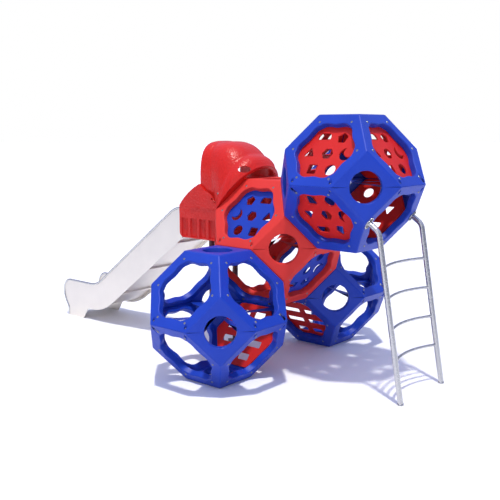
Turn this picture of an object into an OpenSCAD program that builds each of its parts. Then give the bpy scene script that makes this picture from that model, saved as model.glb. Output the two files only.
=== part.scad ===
// Dome climber: four hollow truncated-octahedron play balls stacked on one lattice,
// with perforated panels, step panels, a tube ladder and a hooded stainless slide.
// Units are millimetres. Z is up and the ground is z = 0.

/* [Balls] */
// Width of a ball across its square faces
ball_w = 1200; // [960:10:1440]
// Depth of the double wall of a ball
ball_wall = 60; // [45:1:72]
// Width of a hexagonal window across its flats
window_w = 534; // [430:2:560]
// Width of a hexagonal window across its rounded corners
window_corner_w = 594; // [490:2:616]
// Diameter of the round porthole in every square face
porthole_d = 273; // [200:1:330]

/* [Seam bolts] */
// Distance of a seam bolt inside the ball's hexagon-to-hexagon edge
seam_bolt_inset = 33; // [30:1:38]
// Distance between the two seam bolts on one edge
seam_bolt_gap = 390; // [330:2:420]
// Diameter of a seam bolt
seam_bolt_d = 10; // [8:1:12]
// Diameter of the pocket around a seam bolt's head
seam_pocket_d = 30; // [26:1:34]
// Thickness of the flange under each pocket
seam_flange_t = 25; // [18:1:30]

/* [Window fixings] */
// Distance of a corner screw from the window's centre
corner_screw_r = 330; // [322:1:340]
// Diameter of a corner screw
corner_screw_d = 8; // [6:1:10]
// Diameter of a bolt that joins two balls
joint_bolt_d = 12; // [10:1:16]

/* [Panels] */
// Width of a panel across its flats
panel_w = 620; // [600:2:626]
// Width of a panel across its rounded corners
panel_corner_w = 700; // [690:2:706]
// Thickness of a panel
panel_t = 15; // [10:1:18]
// Distance of the six outer play holes from the panel's centre
play_hole_ring_r = 186; // [160:1:200]
// Size of a play hole, as the radius of its circle
play_hole_r = 52; // [36:1:58]

/* [Step panels] */
// Distance between the rows of step slots
step_pitch = 140; // [120:1:150]
// Height of a step slot
step_slot_h = 66; // [50:1:75]
// Width of the spine between the two columns of slots
step_spine_w = 60; // [40:1:90]
// Width of the frame around the slots
step_frame_w = 15; // [10:1:30]

/* [Ladder] */
// Distance between the ladder's rails, centre to centre
ladder_w = 735; // [700:5:760]
// Lean of the rails from upright, in degrees
ladder_lean = 10; // [6:1:14]
// Outer diameter of a rail
rail_d = 48; // [42:1:60]
// Wall of the rail tube
rail_wall = 3; // [2:0.5:4]
// Distance from the ball to the start of a rail's bend
rail_reach = 82; // [60:1:110]
// Centre-line radius of a rail's bend
rail_bend_r = 100; // [80:5:140]
// Diameter of a rung
rung_d = 25; // [22:1:34]
// Height of the lowest rung above the ground
first_rung_h = 347; // [280:1:400]
// Distance between rungs
rung_pitch = 260; // [210:1:290]
// How far a rung bows towards the ball
rung_bow = 87; // [40:1:110]
// Thickness of the plates on top of the rails
rail_plate_t = 8; // [6:1:12]
// Distance of a plate's bolts from the rail's axis
rail_plate_bolt_r = 38; // [36:1:42]
// Diameter of the bolts that hold the ladder
ladder_bolt_d = 10; // [8:1:12]

/* [Slide] */
// Overall width of the slide's sheet metal
slide_w = 546; // [480:2:600]
// Slope of the slide, in degrees
slide_slope = 36.7; // [30:0.1:40]
// Height of the side above the bed
side_h = 270; // [200:5:320]
// Depth of the side below the bed
side_skirt = 40; // [30:1:60]
// Thickness of a side sheet
side_t = 5; // [3:0.5:8]
// Thickness of the bed sheet
bed_t = 4; // [3:0.5:6]
// Height of the level run-out above the ground
runout_h = 175; // [120:5:220]
// Length of the level run-out
runout_l = 394; // [300:2:500]
// Radius of the bed's lower curve
bed_curve_r = 600; // [450:10:800]
// Diameter of the tube along the top of each side
slide_rail_d = 25; // [20:1:34]
// Thickness of the flange at the slide's upper end
slide_flange_t = 6; // [4:1:10]
// Width of the flange at the slide's upper end
slide_flange_w = 46; // [40:1:60]

/* [Slide entrance] */
// Distance from the hub's axis to the entrance's front face
entry_front = 1020; // [980:5:1100]
// Overall width of the entrance
entry_w = 660; // [640:5:720]
// Clear width of the entrance's passage
passage_w = 524; // [470:2:530]
// Height of the entrance's underside below the hub's seam
entry_drop = 30; // [20:1:60]
// Thickness of the entrance's floor
entry_floor_t = 35; // [30:1:60]
// Step from the entrance's floor down to the slide's bed
bed_step = 10; // [0:1:20]
// Height of the entrance's front edge above the hub's seam
cheek_front_h = 300; // [240:5:330]
// Rise of the cheek's curved top above its chord
cheek_crown = 22; // [10:1:40]
// Thickness of the flanges that lie on the hub
entry_flange_t = 15; // [10:1:20]
// Depth of the flutes in the cheeks
flute_depth = 28; // [15:1:32]

/* [Hood] */
// Distance from the hub's axis to the hood's front lip
hood_lip = 735; // [700:5:760]
// Height of the hood's lip above the hub's seam at its foot
hood_foot_h = 528; // [500:2:560]
// Height of the hood's crown above the hub's top
hood_crown_h = 348; // [300:2:400]
// Half width of the hood's front lip
hood_lip_half_w = 309; // [290:1:320]
// Wall of the hood
hood_wall = 14; // [8:1:20]
// How far the hood's lobes bulge
hood_bulge = 18; // [0:1:30]
// Radius of the round ends of the hood's side windows
hood_window_r = 38; // [20:1:45]

/* [Support posts] */
// Diameter of a support post
post_d = 60; // [48:1:76]
// Distance between the two posts
post_gap = 360; // [300:5:420]
// Distance from the hub's axis to the posts
post_out = 705; // [695:1:760]
// Size of a post's square base plate
post_plate_w = 150; // [130:5:180]
// Thickness of a post's plates
post_plate_t = 8; // [6:1:12]
// Distance between the holes of a base plate
post_hole_gap = 110; // [95:1:140]
// Diameter of the holes in a base plate
post_hole_d = 14; // [11:1:18]

/* [Hidden] */

$fn = 48;
// Clearance left between a moulded piece and what it seats on
seat = 0.3;
// Overlap that lets a cut run clear of a face
cut = 1;
arc_step = 3;
// Facets round a wide bend
bend_fn = 180;

// One unit of the ball's lattice: every corner lies at (0, 1, 2) units
unit = ball_w / 4;
hex_dist = sqrt(3) * unit;
hex_tilt = acos(1 / sqrt(3));
hex_flat_r = sqrt(3 / 2) * unit;
hex_corner_r = sqrt(2) * unit;
seam_edge_r = 3 * unit / sqrt(2);

front_at = [0, 0, ball_w / 2];
hub_at = [ball_w / 2, ball_w / 2, ball_w];
top_at = [ball_w, 0, 3 * ball_w / 2];
rear_at = [ball_w, ball_w, ball_w / 2];

// What fills each hexagon: upper four, then lower four, from the +X +Y corner anticlockwise
front_windows = [["joint", "open", "open", "open"], ["panel", "open", "open", "open"]];
hub_windows = [["panel", "slide", "panel", "joint"], ["joint", "open", "joint", "panel"]];
top_windows = [["panel", "panel", "panel", "panel"], ["panel", "joint", "panel", "ladder"]];
rear_windows = [["open", "open", "joint", "open"], ["open", "open", "panel", "open"]];

screw_hole_d = corner_screw_d + 0.4;
joint_hole_d = joint_bolt_d + 1;
button_r = 11;
button_h = 5;

// Ladder, measured outwards from the top ball's axis
face_slope = 90 - hex_tilt;
ladder_top = [hex_dist * sin(hex_tilt), top_at[2] - hex_dist * cos(hex_tilt)];
rail_turn = 90 - ladder_lean - face_slope;
rail_knee_run = rail_reach + rail_bend_r * tan(rail_turn / 2);
rail_knee = ladder_top + rail_knee_run * [cos(face_slope), -sin(face_slope)];
rail_foot_out = rail_knee[0] + rail_knee[1] * tan(ladder_lean);
rung_chord = ladder_w / 2;
rung_r = rung_chord * rung_chord / (2 * rung_bow) + rung_bow / 2;
rung_half_angle = asin(rung_chord / rung_r);

// Slide, measured outwards from the hub's axis
entry_bottom = hub_at[2] - entry_drop;
entry_floor = entry_bottom + entry_floor_t;
bed_start = [entry_front + slide_flange_t, entry_floor - bed_step];
bed_knee_r = 40;
bed_drop_share = 1 - cos(slide_slope);
bed_straight = (bed_start[1] - runout_h - (bed_knee_r + bed_curve_r) * bed_drop_share)
    / sin(slide_slope);
bed_steps = [[5, bed_knee_r, -slide_slope], [bed_straight, bed_curve_r, slide_slope],
    [runout_l, 0, 0]];
bed_lip_steps = [[5, bed_knee_r, -slide_slope], [bed_straight, bed_curve_r, slide_slope],
    [runout_l, 40, -80], [15, 0, 0]];
nose_r = 135;
nose_back_r = 270;
nose_back_turn = 35;
rail_over = side_h;
rail_seat = slide_rail_d / 2 + seat;
rail_steps = [[5, bed_knee_r + rail_over, -slide_slope],
    [bed_straight, bed_curve_r - rail_over, slide_slope],
    [runout_l, nose_r, -90], [0, nose_back_r, -nose_back_turn],
    [30, nose_back_r / 3, nose_back_turn]];
bed_end = bed_start[0] + 5 + (bed_knee_r + bed_curve_r) * sin(slide_slope)
    + bed_straight * cos(slide_slope) + runout_l;
side_mid = slide_w / 2 - side_t / 2;
foot_back = 230;
foot_rise = 95;

// Hood, in the upright plane through the slide's middle
hex_mid = [hex_dist * sin(hex_tilt), hub_at[2] + hex_dist * cos(hex_tilt)];
hex_up = [-cos(hex_tilt), sin(hex_tilt)];
hood_foot = [hood_lip, hub_at[2] + hood_foot_h];
hood_rim_half_w = hex_corner_r + 2;
hood_rim_rise = 1.39 * hex_flat_r;
hood_pivot = [hex_mid[0] + 10, hex_mid[1] + 135];
hood_lip_crown = [hood_lip, hub_at[2] + ball_w / 2 + hood_crown_h];
hood_rim_crown = hex_mid + hood_rim_rise * hex_up;
hood_stations = 24;
hood_arch_steps = 28;
first_crease = 0.1;
second_crease = 0.66;
lug_t = 36;

// Extent of the whole climber, which puts the origin under its middle
nose_out = bed_end + nose_r + side_mid;
foot_spread = sqrt(pow(rail_d / 2 / cos(ladder_lean), 2) + pow(rail_d / 2, 2)) / sqrt(2);
foot_out = (rail_foot_out + ladder_w / 2) / sqrt(2) + foot_spread;
x_low = hub_at[0] - nose_out / sqrt(2) - slide_rail_d / 2;
x_high = top_at[0] + foot_out;
y_low = top_at[1] - foot_out;
y_high = hub_at[1] + nose_out / sqrt(2) + slide_rail_d / 2;
site_shift = [-(x_low + x_high) / 2, -(y_low + y_high) / 2, 0];

module at_site() translate(site_shift) children();
module at_ball(place) at_site() translate(place) children();

// X runs down the slide, Y across it, with the hub's axis on Z
module at_slide() at_site() translate([hub_at[0], hub_at[1], 0]) rotate([0, 0, 135]) children();

// X runs out towards the ladder's feet, Y along its rungs, with the top ball's axis on Z
module at_ladder() at_site() translate([top_at[0], top_at[1], 0]) rotate([0, 0, -45]) children();

// On one hexagon of a ball: X to the right and Y up as seen from outside, Z outwards
module on_hex(azimuth, side)
    rotate([0, side > 0 ? hex_tilt : 180 - hex_tilt, azimuth])
        rotate([0, 0, 90]) translate([0, 0, hex_dist]) children();

module on_hexes(side) for (k = [0:3]) on_hex(45 + 90 * k, side) children();

module facing(side) {
    if (side > 0) children();
    else mirror([0, 0, 1]) children();
}

// ---- Balls ----

module slab(azimuth, inset)
    rotate([0, hex_tilt, azimuth])
        cube([3 * ball_w, 3 * ball_w, 2 * (hex_dist - inset)], center = true);

module ball_block(inset) {
    intersection() {
        cube(ball_w - 2 * inset, center = true);
        slab(45, inset);
        slab(135, inset);
        slab(225, inset);
        slab(315, inset);
    }
}

module half_block() {
    intersection() {
        translate([-ball_w / 2, -ball_w / 2, 0]) cube([ball_w, ball_w, ball_w / 2]);
        slab(45, 0);
        slab(135, 0);
        slab(225, 0);
        slab(315, 0);
    }
}

module window_outline(grow = 0) {
    intersection() {
        circle(r = (window_w / 2 + grow) / cos(30), $fn = 6);
        circle(d = window_corner_w + 2 * grow);
    }
}

function corners(kind) = kind == "ladder" ? [1, 2, 4, 5] : [0, 1, 2, 3, 4, 5];

module at_corners(kind)
    for (k = corners(kind))
        rotate([0, 0, 60 * k]) translate([corner_screw_r, 0, 0]) children();

module window_cuts(kind) {
    translate([0, 0, -ball_wall - cut]) {
        linear_extrude(ball_wall + 2 * cut) window_outline();
        at_corners(kind)
            cylinder(d = kind == "joint" ? joint_hole_d : screw_hole_d, h = ball_wall + 2 * cut);
        if (kind == "ladder") at_rail_bolts() cylinder(d = ladder_bolt_d + 1, h = ball_wall + 2 * cut);
    }
}

module at_rail_bolts()
    for (x = [-1, 1], y = [-1, 1])
        translate([x * ladder_w / 2, y * rail_plate_bolt_r, 0]) children();

module at_seam_bolts()
    for (k = [0:3], y = [-1, 1])
        rotate([0, 0, 45 + 90 * k])
            translate([seam_edge_r - seam_bolt_inset, y * seam_bolt_gap / 2, 0]) children();

module half_shell(windows, side) {
    facing(side) difference() {
        half_block();
        ball_block(ball_wall);
        for (k = [0:3]) on_hex(45 + 90 * k, 1) window_cuts(windows[side > 0 ? 0 : 1][k]);
        translate([0, 0, ball_w / 2 - ball_wall - cut])
            cylinder(d = porthole_d, h = ball_wall + 2 * cut);
        rotate([90, 0, 0]) cylinder(d = porthole_d, h = ball_w + 2 * cut, center = true);
        rotate([0, 90, 0]) cylinder(d = porthole_d, h = ball_w + 2 * cut, center = true);
        at_seam_bolts() {
            translate([0, 0, -cut]) cylinder(d = seam_bolt_d + 1, h = 2 * seam_flange_t);
            translate([0, 0, seam_flange_t]) cylinder(d = seam_pocket_d, h = 3 * seam_flange_t);
        }
    }
}

// ---- Fixings ----

module button_screw(length) {
    cylinder(r1 = button_r, r2 = button_r * 0.6, h = button_h);
    translate([0, 0, -length]) cylinder(d = corner_screw_d, h = length);
}

module hex_bolt(d, grip) {
    cylinder(r = d * 1.1, h = 2);
    translate([0, 0, 2]) cylinder(r = d * 0.95, h = d * 0.6, $fn = 6);
    translate([0, 0, -grip - d]) cylinder(d = d, h = grip + d);
}

module hex_nut(d)
    difference() {
        cylinder(r = d * 0.95, h = d * 0.8, $fn = 6);
        translate([0, 0, -cut]) cylinder(d = d + 0.2, h = d + 2 * cut);
    }

module bolt_and_nut(d, grip) {
    hex_bolt(d, grip);
    translate([0, 0, -grip - d * 0.8]) hex_nut(d);
}

function screw_length(kind) =
    kind == "panel" ? ball_wall + panel_t :
    kind == "slide" ? ball_wall + entry_flange_t : ball_wall;

module corner_screws(windows) {
    color("gainsboro")
    for (side = [0, 1], k = [0:3]) {
        kind = windows[side][k];
        if (kind != "joint")
            on_hex(45 + 90 * k, side == 0 ? 1 : -1)
                translate([0, 0, kind == "slide" ? entry_flange_t : 0])
                    at_corners(kind) button_screw(screw_length(kind));
    }
}

module seam_bolts()
    color("silver") at_seam_bolts()
        translate([0, 0, seam_flange_t]) bolt_and_nut(seam_bolt_d, 2 * seam_flange_t);

// Bolts through the two walls where a hexagon is shared with the next ball
module joint_bolts(azimuth, side)
    color("silver") on_hex(azimuth, side) at_corners("joint")
        translate([0, 0, ball_wall]) bolt_and_nut(joint_bolt_d, 2 * ball_wall);

// ---- Panels ----

module on_wall_inside() translate([0, 0, -ball_wall - panel_t]) children();

module panel_blank()
    difference() {
        intersection() {
            circle(r = panel_w / 2 / cos(30), $fn = 6);
            circle(d = panel_corner_w);
        }
        at_corners("panel") circle(d = screw_hole_d);
    }

module half_round() {
    intersection() {
        circle(r = play_hole_r * 1.25);
        translate([0, play_hole_r * 0.3]) square([4 * play_hole_r, 1.3 * play_hole_r], center = true);
    }
}

module crescent() {
    difference() {
        circle(r = play_hole_r * 1.2);
        translate([0.55 * play_hole_r, 0.45 * play_hole_r]) circle(r = play_hole_r);
    }
}

module triangle() circle(r = play_hole_r * 1.2, $fn = 3);
module pentagon() circle(r = play_hole_r * 1.05, $fn = 5);

// Seven play holes: a hexagon in the middle and six different shapes around it
module play_holes() {
    circle(r = play_hole_r * 1.1, $fn = 6);
    translate([play_hole_ring_r, 0]) crescent();
    rotate([0, 0, 60]) translate([play_hole_ring_r, 0]) rotate([0, 0, 30]) pentagon();
    rotate([0, 0, 120]) translate([play_hole_ring_r, 0]) rotate([0, 0, -120]) half_round();
    rotate([0, 0, 180]) translate([play_hole_ring_r, 0]) rotate([0, 0, -90]) triangle();
    rotate([0, 0, 240]) translate([play_hole_ring_r, 0]) rotate([0, 0, 120])
        square(1.75 * play_hole_r, center = true);
    rotate([0, 0, 300]) translate([play_hole_ring_r, 0]) circle(r = play_hole_r);
}

module play_panel(azimuth, side, flip = [0, 0, 0]) {
    on_hex(azimuth, side) on_wall_inside()
        linear_extrude(panel_t) difference() {
            panel_blank();
            if (norm(flip) > 0) mirror(flip) play_holes();
            else play_holes();
        }
}

module step_panel(azimuth, side) {
    field_r = window_w / 2 / cos(30) - step_frame_w;
    color("firebrick") on_hex(azimuth, side) on_wall_inside()
        linear_extrude(panel_t) difference() {
            panel_blank();
            for (row = [-1.5:1:1.5], x = [-1, 1]) {
                far_edge = abs(row) * step_pitch + step_slot_h / 2;
                slot_l = field_r - far_edge / sqrt(3) - step_spine_w / 2;
                translate([x * (step_spine_w + slot_l) / 2, row * step_pitch])
                    square([slot_l, step_slot_h], center = true);
            }
        }
}

// ---- Tubes and sheets that follow a run of straights and bends ----

// Each step is [straight length, bend radius, turn]; the run starts at p and bends in XZ.
// It comes back as points [x, z, heading].
function run_points(steps, p = [0, 0], heading = 0, step = arc_step, k = 0) =
    k >= len(steps) ? [[p[0], p[1], heading]] :
    let (q = p + steps[k][0] * [cos(heading), sin(heading)],
        turn = steps[k][2],
        swing = steps[k][1] * sign(turn),
        centre = q + swing * [-sin(heading), cos(heading)],
        count = max(1, ceil(abs(turn) / step)),
        last = heading + turn,
        end = centre + swing * [sin(last), -cos(last)])
    concat([[p[0], p[1], heading]],
        turn == 0 ? [] : [for (i = [0:count - 1])
            let (a = heading + turn * i / count)
            [centre[0] + swing * sin(a), centre[1] - swing * cos(a), a]],
        run_points(steps, end, last, step, k + 1));

// The run moved sideways, as plain points
function beside(run, gap) = [for (p = run) [p[0] - gap * sin(p[2]), p[1] + gap * cos(p[2])]];

// One ring of a tube round point p of a run; the last ring of a run is cut off by the ground
function ring(p, r, sides, grounded) =
    [for (i = [0:sides - 1])
        let (n = r * cos(360 * i / sides),
            x = p[0] - n * sin(p[2]),
            z = p[1] + n * cos(p[2]))
        [grounded ? x - z * cos(p[2]) / sin(p[2]) : x, r * sin(360 * i / sides), grounded ? 0 : z]];

// A tube along a run that ends on the ground
module tube(run, d, wall, sides) {
    rings = len(run);
    skin = rings * sides;
    function id(layer, i, j) = layer * skin + i * sides + j % sides;
    points = [for (r = [d / 2, d / 2 - wall], i = [0:rings - 1])
        each ring(run[i], r, sides, i == rings - 1)];
    outer = [for (i = [0:rings - 2], j = [0:sides - 1])
        [id(0, i, j), id(0, i, j + 1), id(0, i + 1, j + 1), id(0, i + 1, j)]];
    inner = [for (i = [0:rings - 2], j = [0:sides - 1])
        [id(1, i, j), id(1, i + 1, j), id(1, i + 1, j + 1), id(1, i, j + 1)]];
    start = [for (j = [0:sides - 1])
        [id(0, 0, j), id(1, 0, j), id(1, 0, j + 1), id(0, 0, j + 1)]];
    end = [for (j = [0:sides - 1])
        [id(0, rings - 1, j), id(0, rings - 1, j + 1), id(1, rings - 1, j + 1), id(1, rings - 1, j)]];
    polyhedron(points, concat(outer, inner, start, end));
}

function reversed(list) = [for (i = [len(list) - 1:-1:0]) list[i]];

// ---- Ladder ----

module on_rail_top(y)
    translate([ladder_top[0], y * ladder_w / 2, ladder_top[1]]) rotate([0, face_slope, 0]) children();

rail_run = run_points([[rail_reach - rail_plate_t, rail_bend_r, -rail_turn]],
    ladder_top + rail_plate_t * [cos(face_slope), -sin(face_slope)], -face_slope, 2 * arc_step);

module ladder_rail(y)
    color("silver") at_ladder() translate([0, y * ladder_w / 2, 0])
        tube(concat(rail_run, [[rail_foot_out, 0, ladder_lean - 90]]), rail_d, rail_wall, 24);

// The straight part of a rail, as the rungs are cut to fit it
module rail_straight(y)
    translate([rail_foot_out, y * ladder_w / 2, 0]) rotate([0, -ladder_lean, 0])
        cylinder(d = rail_d, h = rail_knee[1] / cos(ladder_lean));

module ladder_rung(k) {
    h = first_rung_h + (4 - k) * rung_pitch;
    out = rail_knee[0] + (rail_knee[1] - h) * tan(ladder_lean);
    color("silver") at_ladder() difference() {
        translate([out + rung_r * cos(rung_half_angle), 0, h])
            rotate([0, 0, 180 - rung_half_angle])
                rotate_extrude(angle = 2 * rung_half_angle, $fn = 2 * bend_fn)
                    translate([rung_r, 0]) circle(d = rung_d, $fn = 24);
        rail_straight(-1);
        rail_straight(1);
    }
}

module rail_plate() {
    rotate([0, 90, 0]) linear_extrude(rail_plate_t) difference() {
        union() {
            circle(r = rail_d / 2 + 14);
            square([2 * rail_plate_bolt_r, rail_d - 4], center = true);
            for (x = [-1, 1]) translate([x * rail_plate_bolt_r, 0]) circle(d = rail_d - 4);
        }
        for (x = [-1, 1]) translate([x * rail_plate_bolt_r, 0]) circle(d = ladder_bolt_d + 1);
    }
}

module ladder_plates() color("silver") at_ladder() for (y = [-1, 1]) on_rail_top(y) rail_plate();

module ladder_bolts()
    color("gainsboro") at_ball(top_at) on_hex(315, -1) at_rail_bolts()
        translate([0, 0, rail_plate_t])
            hex_bolt(ladder_bolt_d, rail_plate_t + ball_wall - 2 * ladder_bolt_d);

// ---- Slide ----

module slide_bed() {
    run = run_points(bed_lip_steps, bed_start);
    color("gainsboro") at_slide() rotate([90, 0, 0])
        linear_extrude(slide_w - 2 * side_t, center = true)
            polygon(concat(beside(run, 0), reversed(beside(run, -bed_t))));
}

function side_outline() =
    let (run = run_points(bed_steps, bed_start),
        nose = run_points([[0, nose_r, -90], [0, nose_back_r, -nose_back_turn],
            [30, nose_back_r / 3, nose_back_turn]], [bed_end, runout_h + side_h]),
        toe = nose[len(nose) - 1],
        sole = beside(run, -side_skirt),
        heel = toe[0] - 285)
    concat(beside(run, side_h - rail_seat), beside(nose, -rail_seat), [[toe[0] - rail_seat, 0],
        [heel, 0],
        [heel - foot_rise, runout_h - side_skirt]],
        reversed([for (p = sole) if (p[0] < heel - foot_rise - 10) p]));

module side_sheet(y)
    translate([0, y * side_mid, 0]) rotate([90, 0, 0])
        linear_extrude(side_t, center = true) polygon(side_outline());

module slide_side(y) color("gainsboro") at_slide() side_sheet(y);

module slide_rail(y) {
    run = run_points(rail_steps, bed_start + [0, rail_over], 0, 2 * arc_step);
    color("silver") at_slide() translate([0, y * side_mid, 0])
        tube(concat(run, [[run[len(run) - 1][0], 0, -90]]), slide_rail_d, 2, 16);
}

// Cross bars welded under the bed, at distances along its straight slope
module slide_braces() {
    brace = [40, slide_w - 2 * side_t, 20];
    color("silver") at_slide() for (share = [0.12, 0.5, 0.88])
        translate([bed_start[0] + 5 + bed_knee_r * sin(slide_slope), 0,
                bed_start[1] - bed_knee_r * bed_drop_share])
            rotate([0, slide_slope, 0])
                translate([share * bed_straight, 0, -bed_t - brace[2] / 2]) cube(brace, center = true);
}

module flange_outline() {
    top = bed_start[1] + side_h;
    low = bed_start[1] - side_skirt;
    inner = slide_w / 2 - slide_flange_w / 2;
    outer = slide_w / 2 + slide_flange_w / 2;
    difference() {
        translate([-outer, low]) square([2 * outer, top - low]);
        translate([-inner, bed_start[1]]) square([2 * inner, side_h + cut]);
    }
}

module at_slide_bolts()
    for (y = [-1, 1], h = [40, 125, 210])
        translate([0, y * (slide_w / 2 + slide_flange_w / 4), bed_start[1] + h]) children();

module slide_flange() {
    color("gainsboro") at_slide() difference() {
        translate([entry_front, 0, 0]) rotate([90, 0, 90]) linear_extrude(slide_flange_t)
            flange_outline();
        at_slide_bolts() translate([entry_front - cut, 0, 0]) rotate([0, 90, 0])
            cylinder(d = screw_hole_d, h = slide_flange_t + 2 * cut);
    }
}

module slide_bolts()
    color("gainsboro") at_slide() at_slide_bolts()
        translate([entry_front + slide_flange_t, 0, 0]) rotate([0, 90, 0])
            button_screw(slide_flange_t + 30);

// ---- Slide entrance ----

// Points of an arc from a to b that stands proud of its chord by the given rise
function bow_points(a, b, rise, count) =
    let (chord = b - a, across = [chord[1], -chord[0]] / norm(chord))
    [for (i = [1:count - 1]) let (t = i / count)
        a + t * chord + 4 * rise * t * (1 - t) * across];

module cheek_outline() {
    front_top = [entry_front, hub_at[2] + cheek_front_h];
    corner = 60;
    back = hex_mid[0] - 40;
    polygon(concat(
        [[back, entry_bottom], [entry_front - corner, entry_bottom]],
        [for (a = [15:15:75]) [entry_front - corner + corner * sin(a),
            entry_bottom + corner - corner * cos(a)]],
        [[entry_front, entry_bottom + corner], front_top],
        bow_points(front_top, hood_foot, cheek_crown, 12),
        [hood_foot, hex_mid, [back, hex_mid[1]]]));
}

module upright_plate(thickness)
    rotate([90, 0, 0]) linear_extrude(thickness, center = true) children();

module cheek(y) {
    cheek_t = (entry_w - passage_w) / 2;
    translate([0, y * (passage_w + cheek_t) / 2, 0]) upright_plate(cheek_t) cheek_outline();
}

// Hollowed flutes in the outer face of a cheek
module flutes(y) {
    flute_r = 52;
    pitch = 128;
    for (k = [0:3])
        translate([entry_front - 75 - k * pitch, y * (entry_w / 2 + flute_r - flute_depth),
                entry_bottom + 12])
            cylinder(r = flute_r, h = 190);
}

// Raised half disc on the outer face of a cheek
module cheek_badge(y) {
    badge_r = 180;
    badge_t = 8;
    translate([hood_lip - 65, y * (entry_w / 2 + badge_t / 2), hub_at[2] + cheek_front_h - 15])
        intersection() {
            rotate([90, 0, 0]) cylinder(r = badge_r, h = badge_t, center = true);
            translate([-badge_r, -badge_t, 0]) cube([2 * badge_r, 2 * badge_t, badge_r]);
        }
}

module slide_window() {
    translate([0, 0, hub_at[2]]) on_hex(0, 1) children();
}

module flange_ring() {
    difference() {
        circle(r = hex_corner_r - 20, $fn = 6);
        window_outline(4);
    }
}

// The lower part of the ring belongs to the entrance, the upper part to the hood
module entry_flange() {
    split = 25;
    linear_extrude(entry_flange_t) intersection() {
        flange_ring();
        translate([-hex_corner_r, -hex_corner_r]) square([2 * hex_corner_r, hex_corner_r + split]);
    }
}

module side_lug(y)
    translate([hood_bolt_at[0] - lug_t, y > 0 ? lug_in : -lug_out, hex_mid[1] - 20])
        cube([lug_t * 2, lug_out - lug_in, hood_bolt_at[2] - hex_mid[1] + 20 + lug_t]);

module at_hood_bolt(y, out)
    translate([hood_bolt_at[0], y * out, hood_bolt_at[2]]) rotate([-90 * y, 0, 0]) children();

module entry_box() {
    color("crimson") at_slide() difference() {
        union() {
            for (y = [-1, 1]) {
                cheek(y);
                cheek_badge(y);
                side_lug(y);
            }
            translate([hex_mid[0], -passage_w / 2, entry_bottom])
                cube([entry_front - hex_mid[0], passage_w, entry_floor_t]);
            slide_window() entry_flange();
        }
        translate([0, 0, hub_at[2]]) rotate([0, 0, -135]) ball_block(-seat);
        slide_window() translate([0, 0, entry_flange_t]) linear_extrude(unit / 3)
            window_outline(4);
        slide_window() translate([-ball_w / 2, 26, -cut])
            cube([ball_w, ball_w, entry_flange_t + cut + seat]);
        slide_window() at_corners("slide") {
            cylinder(d = screw_hole_d, h = unit / 2);
            translate([0, 0, entry_flange_t]) cylinder(r = button_r + 3, h = unit / 2);
        }
        for (y = [-1, 1]) {
            flutes(y);
            at_hood_bolt(y, passage_w / 2) cylinder(d = screw_hole_d, h = ball_w / 4);
        }
        translate([-seat, 0, 0]) at_slide_bolts() translate([entry_front - 40, 0, 0])
            rotate([0, 90, 0]) cylinder(d = screw_hole_d, h = 60);
        at_posts() translate([0, 0, entry_bottom]) at_post_top_bolts()
            translate([0, 0, -cut]) cylinder(d = screw_hole_d, h = 25);
    }
}

// ---- Hood ----

function mix(a, b, t) = a + (b - a) * t;
function power_of(value, n) = sign(value) * pow(abs(value), n);

function lobe(t) =
    t < first_crease ? sin(180 * t / first_crease) * 0.4 :
    t < second_crease ? sin(180 * (t - first_crease) / (second_crease - first_crease)) :
    sin(180 * (t - second_crease) / (1 - second_crease)) * 0.8;

function foot_share(t) =
    t < first_crease ? 0.6 * t / first_crease :
    0.6 + 0.4 * (t - first_crease) / (1 - first_crease);

// A point of the hood: t runs from the lip to the rim, a from one side (0) to the other (180)
function hood_point(t, a, inset) =
    let (foot = mix(hood_foot, hex_mid, foot_share(t)),
        from = hood_lip_crown - hood_pivot,
        to = hood_rim_crown - hood_pivot,
        angle = mix(atan2(from[1], from[0]), atan2(to[1], to[0]), t),
        swell = hood_bulge * lobe(t) * sin(a),
        reach = mix(norm(from), norm(to), t) + swell - inset,
        crown = hood_pivot + reach * [cos(angle), sin(angle)],
        half_w = mix(hood_lip_half_w, hood_rim_half_w, pow(t, 1.5)) + swell - inset,
        n = 2 / mix(3.4, 2, t),
        rise = power_of(sin(a), n),
        p = foot + rise * (crown - foot))
    [p[0] + seat / 2, half_w * power_of(cos(a), n), p[1] + seat];

module hood_skin() {
    rows = hood_stations + 1;
    cols = hood_arch_steps + 1;
    skin = rows * cols;
    function id(layer, i, j) = layer * skin + i * cols + j;
    points = [for (inset = [0, hood_wall], i = [0:hood_stations], j = [0:hood_arch_steps])
        hood_point(i / hood_stations, 180 * j / hood_arch_steps, inset)];
    outer = [for (i = [0:hood_stations - 1], j = [0:hood_arch_steps - 1])
        [id(0, i, j), id(0, i, j + 1), id(0, i + 1, j + 1), id(0, i + 1, j)]];
    inner = [for (i = [0:hood_stations - 1], j = [0:hood_arch_steps - 1])
        [id(1, i, j), id(1, i + 1, j), id(1, i + 1, j + 1), id(1, i, j + 1)]];
    last = hood_stations;
    lip = [for (j = [0:hood_arch_steps - 1])
        [id(0, 0, j), id(1, 0, j), id(1, 0, j + 1), id(0, 0, j + 1)]];
    rim = [for (j = [0:hood_arch_steps - 1])
        [id(0, last, j), id(0, last, j + 1), id(1, last, j + 1), id(1, last, j)]];
    end = hood_arch_steps;
    near_foot = [for (i = [0:hood_stations - 1])
        [id(0, i, 0), id(0, i + 1, 0), id(1, i + 1, 0), id(1, i, 0)]];
    far_foot = [for (i = [0:hood_stations - 1])
        [id(0, i, end), id(1, i, end), id(1, i + 1, end), id(0, i + 1, end)]];
    polyhedron(points, concat(outer, inner, lip, rim, near_foot, far_foot));
}

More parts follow.
